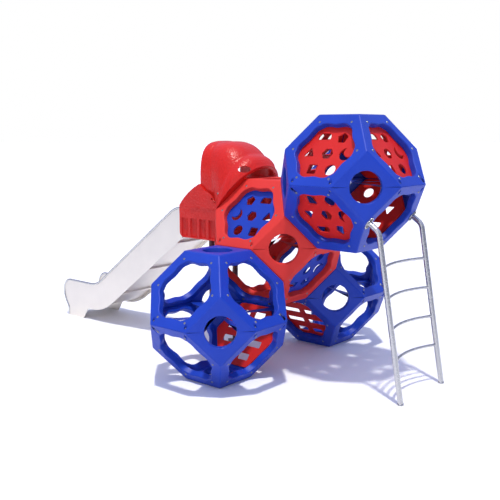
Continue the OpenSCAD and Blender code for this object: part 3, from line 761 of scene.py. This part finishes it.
def play_holes(sizes):
    """Seven holes: a hexagon in the middle and six different shapes round it."""
    r = sizes.hole
    soft = 0.010
    ring = sizes.hole_ring
    right = math.radians(90)
    moon_outer = 1.2 * r
    moon_shift = Vector((0.55 * r, 0.45 * r))
    moon = []
    gap = moon_shift.length
    meet = math.acos((gap**2 + moon_outer**2 - r**2) / (2 * gap * moon_outer))
    inner_meet = math.acos((gap**2 + r**2 - moon_outer**2) / (2 * gap * r))
    aim = math.atan2(moon_shift.y, moon_shift.x)
    for k in range(25):
        a = aim + meet + (2 * math.pi - 2 * meet) * k / 24
        moon.append((moon_outer * math.cos(a), moon_outer * math.sin(a)))
    for k in range(1, 20):
        a = aim + math.pi + inner_meet - 2 * inner_meet * (1 - k / 20) - 0.0
        a = aim - (math.pi - inner_meet) - 2 * inner_meet * k / 20
        moon.append((moon_shift.x + r * math.cos(a), moon_shift.y + r * math.sin(a)))
    half_moon = []
    cut_low = -0.35 * r
    for k in range(25):
        a = math.asin(cut_low / (1.25 * r)) + (
            math.pi - 2 * math.asin(cut_low / (1.25 * r))
        ) * k / 24
        spot = (1.25 * r * math.cos(a), min(0.95 * r, 1.25 * r * math.sin(a)))
        half_moon.append(spot)
    polygon = lambda n, size, start=0.0: rounded(circle_points(size, n, start), soft)
    square = 1.75 * r / math.sqrt(2)
    return [
        polygon(6, 1.1 * r),
        moved(moon, 0, ring),
        moved(polygon(5, 1.08 * r), 60, ring, math.radians(30)),
        moved(half_moon, 120, ring, math.radians(-120)),
        moved(polygon(3, 1.2 * r), 180, ring, -right),
        moved(polygon(4, square, math.radians(45)), 240, ring, math.radians(120)),
        moved(circle_points(r, 32), 300, ring),
    ]


def panel_outline(sizes):
    points = []
    for k in range(72):
        angle = 2 * math.pi * k / 72
        off = angle % math.radians(60) - math.radians(30)
        radius = min(sizes.width / 2 / math.cos(off), sizes.corner_width / 2)
        points.append((radius * math.cos(angle), radius * math.sin(angle)))
    return points


class CLIMBER_OT_play_panels(bpy.types.Operator):
    """Cuts the panels with seven play holes"""

    bl_idname = "climber.play_panels"
    bl_label = "Play panels"

    def execute(self, context):
        sizes = context.scene.climber_panels
        depth = context.scene.climber_balls.wall + sizes.thickness / 2
        for node, centre, azimuth, side, flip in (
            ("top_panel_front_left", TOP, 225, 1, (1, 1)),
            ("top_panel_front_right", TOP, 315, 1, (1, 1)),
            ("top_panel_back_left", TOP, 135, 1, (1, 1)),
            ("top_panel_back_right", TOP, 45, 1, (1, 1)),
            ("top_panel_under_front", TOP, 225, -1, (1, -1)),
            ("top_panel_under_back", TOP, 45, -1, (1, -1)),
            ("hub_panel_front", HUB, 225, 1, (-1, 1)),
            ("hub_panel_back", HUB, 45, 1, (-1, 1)),
            ("hub_panel_under_right", HUB, 315, -1, (1, -1)),
        ):
            holes = [[(x * flip[0], y * flip[1]) for x, y in hole] for hole in play_holes(sizes)]
            mesh = plate_mesh(
                [panel_outline(sizes)] + holes,
                sizes.thickness,
                0.002,
                on_hex(centre, azimuth, side, -depth),
            )
            hue = "red" if node.startswith("top") else "blue"
            adopt(mesh, node + "_sheet", hue + "_sheet", hue + "_panel", [node])
        return {"FINISHED"}


class CLIMBER_OT_step_panels(bpy.types.Operator):
    """Cuts the panels with two columns of step slots"""

    bl_idname = "climber.step_panels"
    bl_label = "Step panels"

    def execute(self, context):
        sizes = context.scene.climber_panels
        balls = context.scene.climber_balls
        depth = balls.wall + sizes.thickness / 2
        field = balls.window / 2 / math.cos(math.radians(30)) - 0.015
        slots = []
        for row in (-1.5, -0.5, 0.5, 1.5):
            far = abs(row) * sizes.step_pitch + sizes.step_slot / 2
            span = field - far / math.sqrt(3) - sizes.spine / 2
            low = row * sizes.step_pitch - sizes.step_slot / 2
            high = low + sizes.step_slot
            for side in (-1, 1):
                near = side * sizes.spine / 2
                end = side * (sizes.spine / 2 + span)
                corners = [(near, low), (end, low), (end, high), (near, high)]
                slots.append(rounded(corners[::side], 0.012))
        for node, centre, azimuth in (
            ("front_step_panel", FRONT, 45),
            ("rear_step_panel", REAR, 225),
        ):
            mesh = plate_mesh(
                [panel_outline(sizes)] + slots,
                sizes.thickness,
                0.002,
                on_hex(centre, azimuth, -1, -depth),
            )
            adopt(mesh, node + "_sheet", "red_sheet", "red_panel", [node])
        return {"FINISHED"}


# ---- Runs of straights and bends in an upright plane ----


def run_points(steps, start, heading=0.0, step=3.0):
    """Points (x, z, heading) along steps of (straight, bend radius, turn in degrees)."""
    x, z = start
    out = []
    for straight, radius, turn in steps:
        out.append((x, z, heading))
        x += straight * math.cos(math.radians(heading))
        z += straight * math.sin(math.radians(heading))
        if not turn:
            continue
        swing = math.copysign(radius, turn)
        centre_x = x - swing * math.sin(math.radians(heading))
        centre_z = z + swing * math.cos(math.radians(heading))
        count = max(1, math.ceil(abs(turn) / step))
        for k in range(count + 1):
            a = math.radians(heading + turn * k / count)
            out.append(
                (
                    centre_x + swing * math.sin(a),
                    centre_z - swing * math.cos(a),
                    math.degrees(a),
                )
            )
        x, z = out[-1][0], out[-1][1]
        out.pop()
        heading += turn
    out.append((x, z, heading))
    return out


# ---- Ladder ----

LADDER_LEAN = 10.0
FACE_SLOPE = 90 - math.degrees(HEX_TILT)
LADDER_TOP = (
    HEX_DISTANCE * math.sin(HEX_TILT),
    TOP.z - HEX_DISTANCE * math.cos(HEX_TILT),
)


def weld_ring(radius, thickness, place):
    """A bead of weld round a tube's end."""
    bm = bmesh.new()
    bmesh.ops.create_circle(
        bm, segments=10, radius=thickness, matrix=Matrix.Translation((radius, 0, 0)) @ Matrix.Rotation(math.radians(90), 4, "X")
    )
    bmesh.ops.spin(
        bm, geom=bm.verts[:] + bm.edges[:], cent=(0, 0, 0), axis=(0, 0, 1), angle=2 * math.pi, steps=28, use_merge=True
    )
    bmesh.ops.recalc_face_normals(bm, faces=bm.faces[:])
    bmesh.ops.transform(bm, matrix=place, verts=bm.verts[:])
    mesh = bpy.data.meshes.new("weld")
    bm.to_mesh(mesh)
    bm.free()
    return mesh


class CLIMBER_OT_ladder(bpy.types.Operator):
    """Bends the ladder's rails and rungs"""

    bl_idname = "climber.ladder"
    bl_label = "Ladder"

    def execute(self, context):
        sizes = context.scene.climber_ladder
        turn = 90 - LADDER_LEAN - FACE_SLOPE
        slope = math.radians(FACE_SLOPE)
        plate = 0.008
        start = (LADDER_TOP[0] + plate * math.cos(slope), LADDER_TOP[1] - plate * math.sin(slope))
        rail = run_points([(sizes.reach - plate, sizes.bend, -turn)], start, -FACE_SLOPE)
        x, z, _ = rail[-1]
        lean = math.tan(math.radians(LADDER_LEAN))
        foot = x + z * lean
        for name, y in (("left", -sizes.width / 2), ("right", sizes.width / 2)):
            points = [(px, y, pz) for px, pz, _ in rail] + [
                (foot - 0.012 * lean, y, 0.012),
            ]
            meshes = [tube_mesh(points, sizes.rail, LADDER_PLACE)]
            pad = bmesh.new()
            bmesh.ops.create_cone(
                pad,
                cap_ends=True,
                segments=32,
                radius1=sizes.rail / 2 + 0.006,
                radius2=sizes.rail / 2 + 0.002,
                depth=0.014,
                matrix=LADDER_PLACE @ Matrix.Translation((foot - 0.002, y, 0.007)),
            )
            bmesh.ops.bevel(
                pad,
                geom=[e for e in pad.edges if e.calc_face_angle(0) > 1],
                offset=0.002,
                segments=2,
                profile=0.5,
                affect="EDGES",
                material=-1,
            )
            foot_mesh = bpy.data.meshes.new("foot")
            pad.to_mesh(foot_mesh)
            pad.free()
            meshes.append(foot_mesh)
            piece_from(
                joined(meshes), f"ladder_rail_{name}_tube", "tube", "ladder_steel", [f"ladder_rail_{name}"]
            )
        chord = sizes.width / 2
        radius = chord * chord / (2 * sizes.bow) + sizes.bow / 2
        span = math.asin(chord / radius)
        inside = math.asin((chord - sizes.rail / 2 + 0.004) / radius)
        for k in range(1, 5):
            height = sizes.first_rung + (4 - k) * sizes.pitch
            out = foot - height * lean + radius * math.cos(span)
            points = []
            for j in range(33):
                a = -inside + 2 * inside * j / 32
                points.append((out - radius * math.cos(a), radius * math.sin(a), height))
            meshes = [tube_mesh(points, sizes.rung, LADDER_PLACE)]
            for end in (-1, 1):
                a = end * math.asin((chord - sizes.rail / 2 - 0.001) / radius)
                place = (
                    LADDER_PLACE
                    @ Matrix.Translation((out - radius * math.cos(a), radius * math.sin(a), height))
                    @ Matrix.Rotation(math.pi / 2 + abs(a) * end, 4, "Z")
                    @ Matrix.Rotation(math.pi / 2, 4, "Y")
                )
                meshes.append(weld_ring(sizes.rung / 2, 0.0028, place))
            piece_from(
                joined(meshes), f"ladder_rung_{k}_tube", "tube", "ladder_steel", [f"ladder_rung_{k}"]
            )
        paint_nodes(["ladder_plates"], "tube")
        return {"FINISHED"}


# ---- Slide ----

SLIDE_SLOPE = 36.7
BED_START = (1.026, 1.195)
RUNOUT_HEIGHT = 0.175
RUNOUT_LENGTH = 0.394
KNEE_RADIUS = 0.04
CURVE_RADIUS = 0.6
BED_STRAIGHT = (
    BED_START[1]
    - RUNOUT_HEIGHT
    - (KNEE_RADIUS + CURVE_RADIUS) * (1 - math.cos(math.radians(SLIDE_SLOPE)))
) / math.sin(math.radians(SLIDE_SLOPE))


class CLIMBER_OT_slide(bpy.types.Operator):
    """Finishes the slide's sheet metal and bends its rails"""

    bl_idname = "climber.slide"
    bl_label = "Slide"

    def execute(self, context):
        sizes = context.scene.climber_slide
        steps = [
            (0.005, KNEE_RADIUS + sizes.side, -SLIDE_SLOPE),
            (BED_STRAIGHT, CURVE_RADIUS - sizes.side, SLIDE_SLOPE),
            (RUNOUT_LENGTH, 0.135, -90),
            (0.0, 0.27, -35),
            (0.03, 0.09, 35),
        ]
        run = run_points(steps, (BED_START[0], BED_START[1] + sizes.side))
        for name, side in (("left", -1), ("right", 1)):
            y = side * (sizes.width / 2 - 0.0025)
            points = [(x, y, z) for x, z, _ in run] + [(run[-1][0], y, 0.0)]
            mesh = tube_mesh(points, sizes.rail, SLIDE_PLACE)
            adopt(mesh, f"slide_rail_{name}_tube", "tube", "slide_steel", [f"slide_rail_{name}"])
        paint_nodes(
            ["slide_bed", "slide_side_left", "slide_side_right", "slide_braces", "slide_flange"],
            "slide_sheet",
        )
        return {"FINISHED"}


# ---- Hood ----

HEX_MIDDLE = (HEX_DISTANCE * math.sin(HEX_TILT), HUB.z + HEX_DISTANCE * math.cos(HEX_TILT))
HEX_UP = (-math.cos(HEX_TILT), math.sin(HEX_TILT))
RIM_HALF_WIDTH = math.sqrt(2) * UNIT + 0.002
RIM_RISE = 1.39 * math.sqrt(1.5) * UNIT
CREASES = (0.1, 0.66)


def mix(a, b, t):
    return a + (b - a) * t


def lobe(t):
    first, second = CREASES
    if t < first:
        return 0.4 * math.sin(math.pi * t / first)
    if t < second:
        return math.sin(math.pi * (t - first) / (second - first))
    return 0.8 * math.sin(math.pi * (t - second) / (1 - second))


def hood_point(t, a, sizes):
    """A point of the hood: t runs from lip to rim, a from one side to the other."""
    foot = (sizes.lip, HUB.z + sizes.foot)
    first = CREASES[0]
    share = 0.6 * t / first if t < first else 0.6 + 0.4 * (t - first) / (1 - first)
    base = (mix(foot[0], HEX_MIDDLE[0], share), mix(foot[1], HEX_MIDDLE[1], share))
    pivot = (HEX_MIDDLE[0] + 0.01, HEX_MIDDLE[1] + 0.135)
    lip_crown = (sizes.lip, HUB.z + BALL_WIDTH / 2 + sizes.crown)
    rim_crown = (HEX_MIDDLE[0] + RIM_RISE * HEX_UP[0], HEX_MIDDLE[1] + RIM_RISE * HEX_UP[1])
    from_x, from_z = lip_crown[0] - pivot[0], lip_crown[1] - pivot[1]
    to_x, to_z = rim_crown[0] - pivot[0], rim_crown[1] - pivot[1]
    angle = mix(math.atan2(from_z, from_x), math.atan2(to_z, to_x), t)
    swell = sizes.bulge * lobe(t) * math.sin(a)
    dip = sizes.sag * max(0.0, math.sin(math.pi * t)) ** 0.7
    reach = mix(math.hypot(from_x, from_z), math.hypot(to_x, to_z), t) + swell - dip
    crown = (pivot[0] + reach * math.cos(angle), pivot[1] + reach * math.sin(angle))
    half_width = mix(sizes.half_width, RIM_HALF_WIDTH, t**1.5) + swell
    power = 2 / mix(3.4, 2, t)
    rise = max(0.0, math.sin(a)) ** power
    across = math.copysign(abs(math.cos(a)) ** power, math.cos(a))
    return Vector(
        (
            base[0] + rise * (crown[0] - base[0]),
            half_width * across,
            base[1] + rise * (crown[1] - base[1]) + 0.0003,
        )
    )


def hood_skin(sizes, rows=48, columns=64):
    """The hood's shell, as a single-sided grid bent into shape."""
    bm = bmesh.new()
    made = bmesh.ops.create_grid(bm, x_segments=rows, y_segments=columns, size=0.5)["verts"]
    for vert in made:
        t = vert.co.x + 0.5
        a = math.pi * (vert.co.y + 0.5)
        vert.co = hood_point(t, a, sizes)
    bmesh.ops.recalc_face_normals(bm, faces=bm.faces[:])
    top = max(bm.faces, key=lambda f: f.calc_center_median().z)
    if top.normal.z < 0:
        bmesh.ops.reverse_faces(bm, faces=bm.faces[:])
    return bm


class CLIMBER_OT_hood(bpy.types.Operator):
    """Moulds the hood over the slide's entrance"""

    bl_idname = "climber.hood"
    bl_label = "Hood"

    def execute(self, context):
        sizes = context.scene.climber_hood
        item = scratch(hood_skin(sizes), "hood")
        wall = item.modifiers.new("wall", "SOLIDIFY")
        wall.thickness = sizes.wall
        wall.offset = -1
        wall.use_even_offset = False
        edge = item.modifiers.new("edge", "BEVEL")
        edge.limit_method = "ANGLE"
        edge.angle_limit = math.radians(60)
        edge.width = 0.005
        edge.segments = 3
        graph = bpy.context.evaluated_depsgraph_get()
        shell = bpy.data.meshes.new_from_object(item.evaluated_get(graph))
        item.modifiers.clear()
        item.data = shell
        windows = bmesh.new()
        spot = hood_point(0.905, math.radians(57), sizes)
        ahead = hood_point(0.935, math.radians(60.5), sizes) - spot
        out = (hood_point(0.915, math.radians(57), sizes) - spot).cross(ahead).normalized()
        across = out.cross(ahead).normalized()
        for side in (-1, 1):
            turn = Matrix((ahead.normalized(), across, out)).transposed().to_4x4()
            bmesh.ops.create_cone(
                windows,
                cap_ends=True,
                segments=40,
                radius1=1,
                radius2=1,
                depth=1,
                matrix=Matrix.Diagonal((1, side, 1, 1))
                @ Matrix.Translation(spot)
                @ turn
                @ Matrix.Diagonal((0.062, 0.034, 0.12, 1)),
            )
        bmesh.ops.recalc_face_normals(windows, faces=windows.faces[:])
        carve(item, scratch(windows, "windows"))
        shell = bare_mesh(item)
        shell.transform(SLIDE_PLACE)
        flange = self.flange(context)
        piece_from(
            joined([shell, flange]), "hood_moulding", "red_hood_moulding", "red_moulding", ["hood_shell"], 35
        )
        return {"FINISHED"}

    def flange(self, context):
        """The band that lies on the hub round the upper half of the window."""
        balls = context.scene.climber_balls
        wall = context.scene.climber_hood.wall
        steps = 40
        split = 0.028
        wide, tall = RIM_HALF_WIDTH - wall / 2, RIM_RISE - wall / 2
        outer, inner = [], []
        for k in range(steps + 1):
            a = math.pi * k / steps
            outer.append((wide * math.cos(a), max(split, tall * math.sin(a))))
        gap_wide, gap_tall = RIM_HALF_WIDTH - 0.034, RIM_RISE - 0.034
        hex_top = math.sqrt(1.5) * UNIT
        level = math.asin(hex_top / gap_tall)
        gap = [
            (gap_wide * math.cos(mix(level, math.pi - level, k / 24)),
             gap_tall * math.sin(mix(level, math.pi - level, k / 24)))
            for k in range(25)
        ]
        for k in range(steps + 1):
            a = math.pi * (1 - k / steps)
            radius = window_radius(a, balls) + 0.006
            inner.append((radius * math.cos(a), max(split, radius * math.sin(a))))
        thickness = 0.0147
        place = on_hex(HUB, 135, 1, thickness / 2 + 0.0003)
        return plate_mesh([outer + inner, gap], thickness, 0.003, place)


class CLIMBER_OT_entrance(bpy.types.Operator):
    """Softens the edges of the slide's entrance with its fluted cheeks"""

    bl_idname = "climber.entrance"
    bl_label = "Entrance"

    def execute(self, context):
        bm = bmesh.new()
        bm.from_mesh(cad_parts["entry_box"].data)
        bmesh.ops.remove_doubles(bm, verts=bm.verts[:], dist=1e-5)
        bmesh.ops.dissolve_limit(
            bm, angle_limit=math.radians(1), verts=bm.verts[:], edges=bm.edges[:]
        )
        item = scratch(bm, "entrance")
        edge = item.modifiers.new("edge", "BEVEL")
        edge.limit_method = "ANGLE"
        edge.angle_limit = math.radians(38)
        edge.width = 0.008
        edge.segments = 3
        edge.profile = 0.5
        mesh = bare_mesh(item)
        piece = adopt(
            mesh, "entrance_moulding", "red_hood_moulding", "red_moulding", ["entry_box"], 30
        )
        piece.modifiers.new("flats", "WEIGHTED_NORMAL").keep_sharp = True
        baked(piece)
        return {"FINISHED"}


class CLIMBER_OT_fixings(bpy.types.Operator):
    """Finishes the screws, bolts and posts"""

    bl_idname = "climber.fixings"
    bl_label = "Fixings and posts"

    def execute(self, context):
        fixings = [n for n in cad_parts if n.endswith("_screws") or n.endswith("_bolts")]
        paint_nodes(fixings, "bolt_steel")
        paint_nodes(["support_post_left", "support_post_right"], "post_paint")
        return {"FINISHED"}


# ---- Stage ----


class CLIMBER_OT_stage(bpy.types.Operator):
    """Lays the floor and sets the camera and the lights"""

    bl_idname = "climber.stage"
    bl_label = "Stage"

    def execute(self, context):
        scene = context.scene
        settings = scene.climber_stage
        self.floor(scene)
        lens = bpy.data.cameras.new("camera")
        lens.lens = settings.lens
        lens.clip_end = 400
        camera = bpy.data.objects.new("camera", lens)
        scene.collection.objects.link(camera)
        camera.location = (
            FRONT.x - settings.camera_side,
            FRONT.y - settings.camera_reach,
            settings.camera_height,
        )
        camera.rotation_euler = (math.radians(90) - settings.dip, 0, settings.turn)
        scene.camera = camera
        sun = bpy.data.lights.new("sun", "SUN")
        sun.energy = 2.5
        sun.angle = math.radians(3)
        sun.color = (1.0, 0.97, 0.92)
        lamp = bpy.data.objects.new("sun", sun)
        lamp.rotation_euler = (math.radians(13.5), math.radians(-1.7), 0)
        scene.collection.objects.link(lamp)
        soft = bpy.data.lights.new("front_soft", "AREA")
        soft.energy = 70
        soft.shape = "DISK"
        soft.size = 5
        soft.color = (1.0, 0.98, 0.96)
        soft_lamp = bpy.data.objects.new("front_soft", soft)
        soft_lamp.location = (FRONT.x - 3.5, FRONT.y - 6.5, 4.2)
        aim = Vector((0, 0, 1.0)) - soft_lamp.location
        soft_lamp.rotation_euler = aim.to_track_quat("-Z", "Y").to_euler()
        scene.collection.objects.link(soft_lamp)
        self.sky(scene)
        scene.view_settings.view_transform = "Standard"
        return {"FINISHED"}

    def floor(self, scene):
        bm = bmesh.new()
        bmesh.ops.create_grid(bm, x_segments=8, y_segments=8, size=120)
        mesh = bpy.data.meshes.new("floor")
        bm.to_mesh(mesh)
        bm.free()
        floor = bpy.data.objects.new("floor", mesh)
        floor.location.z = -0.001
        scene.collection.objects.link(floor)
        paper = Finish("floor_paper", Roughness=0.9, Specular_IOR_Level=0.2)
        base = scene.climber_colours.floor
        cloud = paper.noise(paper.place(), 0.6, 2.0)
        paper.set("Base Color", paper.blend(cloud, tint(base, 0.985), tint(base, 1.0)))
        mesh.materials.append(paper.material)

    def sky(self, scene):
        """A white backdrop that lights the scene as a pale blue sky over a darker rim."""
        world = bpy.data.worlds.new("sky")
        scene.world = world
        world.use_nodes = True
        tree = world.node_tree
        tree.nodes.clear()
        output = tree.nodes.new("ShaderNodeOutputWorld")
        seen = tree.nodes.new("ShaderNodeBackground")
        seen.inputs[0].default_value = (1, 1, 1, 1)
        fill = tree.nodes.new("ShaderNodeBackground")
        fill.inputs[1].default_value = 1.0
        where = tree.nodes.new("ShaderNodeTexCoord")
        split = tree.nodes.new("ShaderNodeSeparateXYZ")
        ramp = tree.nodes.new("ShaderNodeValToRGB")
        tones = ramp.color_ramp.elements
        tones[0].position = 0.0
        tones[0].color = (0.20, 0.22, 0.30, 1)
        tones[1].position = 0.75
        tones[1].color = (0.62, 0.68, 1.0, 1)
        path = tree.nodes.new("ShaderNodeLightPath")
        choose = tree.nodes.new("ShaderNodeMixShader")
        tree.links.new(where.outputs["Generated"], split.inputs[0])
        tree.links.new(split.outputs[2], ramp.inputs[0])
        tree.links.new(ramp.outputs[0], fill.inputs[0])
        tree.links.new(path.outputs["Is Camera Ray"], choose.inputs[0])
        tree.links.new(fill.outputs[0], choose.inputs[1])
        tree.links.new(seen.outputs[0], choose.inputs[2])
        tree.links.new(choose.outputs[0], output.inputs[0])


STEPS = (
    CLIMBER_OT_balls,
    CLIMBER_OT_play_panels,
    CLIMBER_OT_step_panels,
    CLIMBER_OT_ladder,
    CLIMBER_OT_slide,
    CLIMBER_OT_hood,
    CLIMBER_OT_entrance,
    CLIMBER_OT_fixings,
    CLIMBER_OT_stage,
)


class CLIMBER_PT_tools(bpy.types.Panel):
    """Lists the climber's pieces"""

    bl_idname = "CLIMBER_PT_tools"
    bl_label = "Ball Climber"
    bl_space_type = "VIEW_3D"
    bl_region_type = "UI"
    bl_category = "Climber"

    def draw(self, context):
        for step in STEPS:
            self.layout.operator(step.bl_idname)


GROUPS = {
    "climber_balls": BallSizes,
    "climber_panels": PanelSizes,
    "climber_ladder": LadderSizes,
    "climber_slide": SlideSizes,
    "climber_hood": HoodSizes,
    "climber_colours": Colours,
    "climber_stage": StageSettings,
}


def register():
    for name, group in GROUPS.items():
        bpy.utils.register_class(group)
        setattr(bpy.types.Scene, name, bpy.props.PointerProperty(type=group))
    for step in STEPS:
        bpy.utils.register_class(step)
    bpy.utils.register_class(CLIMBER_PT_tools)


def unregister():
    bpy.utils.unregister_class(CLIMBER_PT_tools)
    for step in reversed(STEPS):
        bpy.utils.unregister_class(step)
    for name, group in reversed(GROUPS.items()):
        delattr(bpy.types.Scene, name)
        bpy.utils.unregister_class(group)


def main():
    register()
    for step in STEPS:
        group, name = step.bl_idname.split(".")
        getattr(getattr(bpy.ops, group), name)()


if __name__ == "__main__":
    main()
